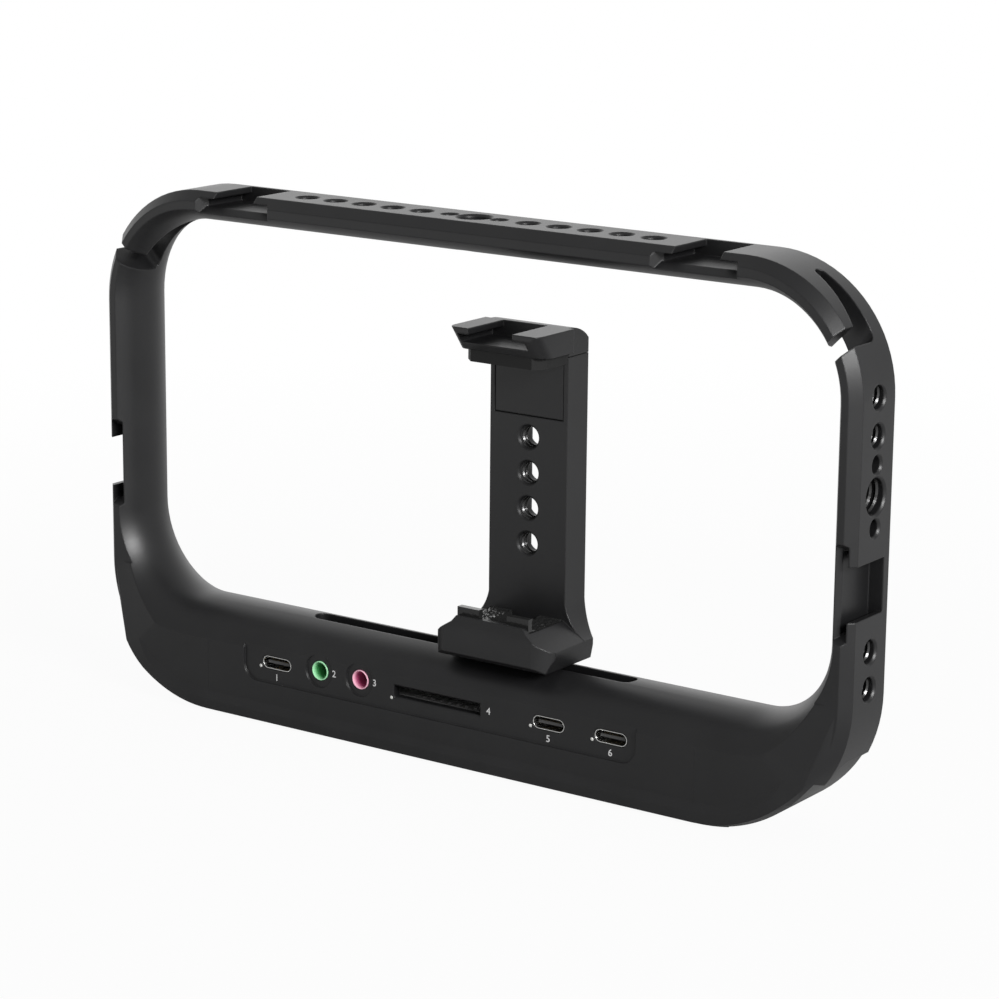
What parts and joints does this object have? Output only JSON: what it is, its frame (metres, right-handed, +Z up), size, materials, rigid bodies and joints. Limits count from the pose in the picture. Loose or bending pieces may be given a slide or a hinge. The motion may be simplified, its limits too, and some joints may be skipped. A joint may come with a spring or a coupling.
{
  "type": "phone cage",
  "caption": "Metal phone cage with a data hub in its lower bar, tapped holes and cold shoes on its rails, and a sliding phone clamp.",
  "frame": {"origin": "centre of the tripod hole in the bottom face", "axes": "+X to the right seen from the ports, +Y to the rear, +Z up"},
  "size_m": [0.216, 0.0345, 0.13],
  "materials": {
    "black_aluminium": "bead-blasted, black anodised",
    "steel": "satin",
    "board": "satin",
    "black_plastic": "satin",
    "plated_shell": "bright",
    "green_plastic": "satin",
    "pink_plastic": "satin",
    "rubber": "matt"
  },
  "bodies": {
    "frame": {"cage_frame": "black_aluminium", "rear_cover": "black_aluminium", "rear_cover_screws": "steel", "hub_board": "board", "hub_chip": "black_plastic", "usb_tongue_left": "black_plastic", "usb_tongue_middle": "black_plastic", "usb_tongue_right": "black_plastic", "headphone_jack": "black_plastic", "microphone_jack": "black_plastic", "card_contacts": "black_plastic", "usb_shell_left": "plated_shell", "usb_shell_middle": "plated_shell", "usb_shell_right": "plated_shell", "card_socket": "plated_shell", "headphone_collar": "green_plastic", "microphone_collar": "pink_plastic"},
    "clamp": {"clamp_column": "black_aluminium", "lower_pad": "rubber", "slide_nut": "steel"},
    "slide_lock": {"slide_screw": "steel"},
    "jaw": {"upper_jaw": "black_aluminium", "upper_pad": "rubber", "guide_rods": "steel"},
    "jaw_lock": {"lock_knob": "black_aluminium", "lock_screw": "steel"}
  },
  "joints": [
    {"name": "clamp_slide", "type": "slide", "parent": "frame", "child": "clamp", "axis": [1, 0, 0], "range_m": [-0.0535, 0.027]},
    {"name": "jaw_slide", "type": "slide", "parent": "clamp", "child": "jaw", "axis": [0, 0, 1], "range_m": [0, 0.0155]},
    {"name": "slide_lock_turn", "type": "hinge", "parent": "clamp", "child": "slide_lock", "pos_m": [0.0132, 0, 0.03], "axis": [0, 0, 1], "continuous": true},
    {"name": "jaw_lock_turn", "type": "hinge", "parent": "clamp", "child": "jaw_lock", "pos_m": [0.005, 0.016, 0.09], "axis": [0, 1, 0], "continuous": true}
  ]
}
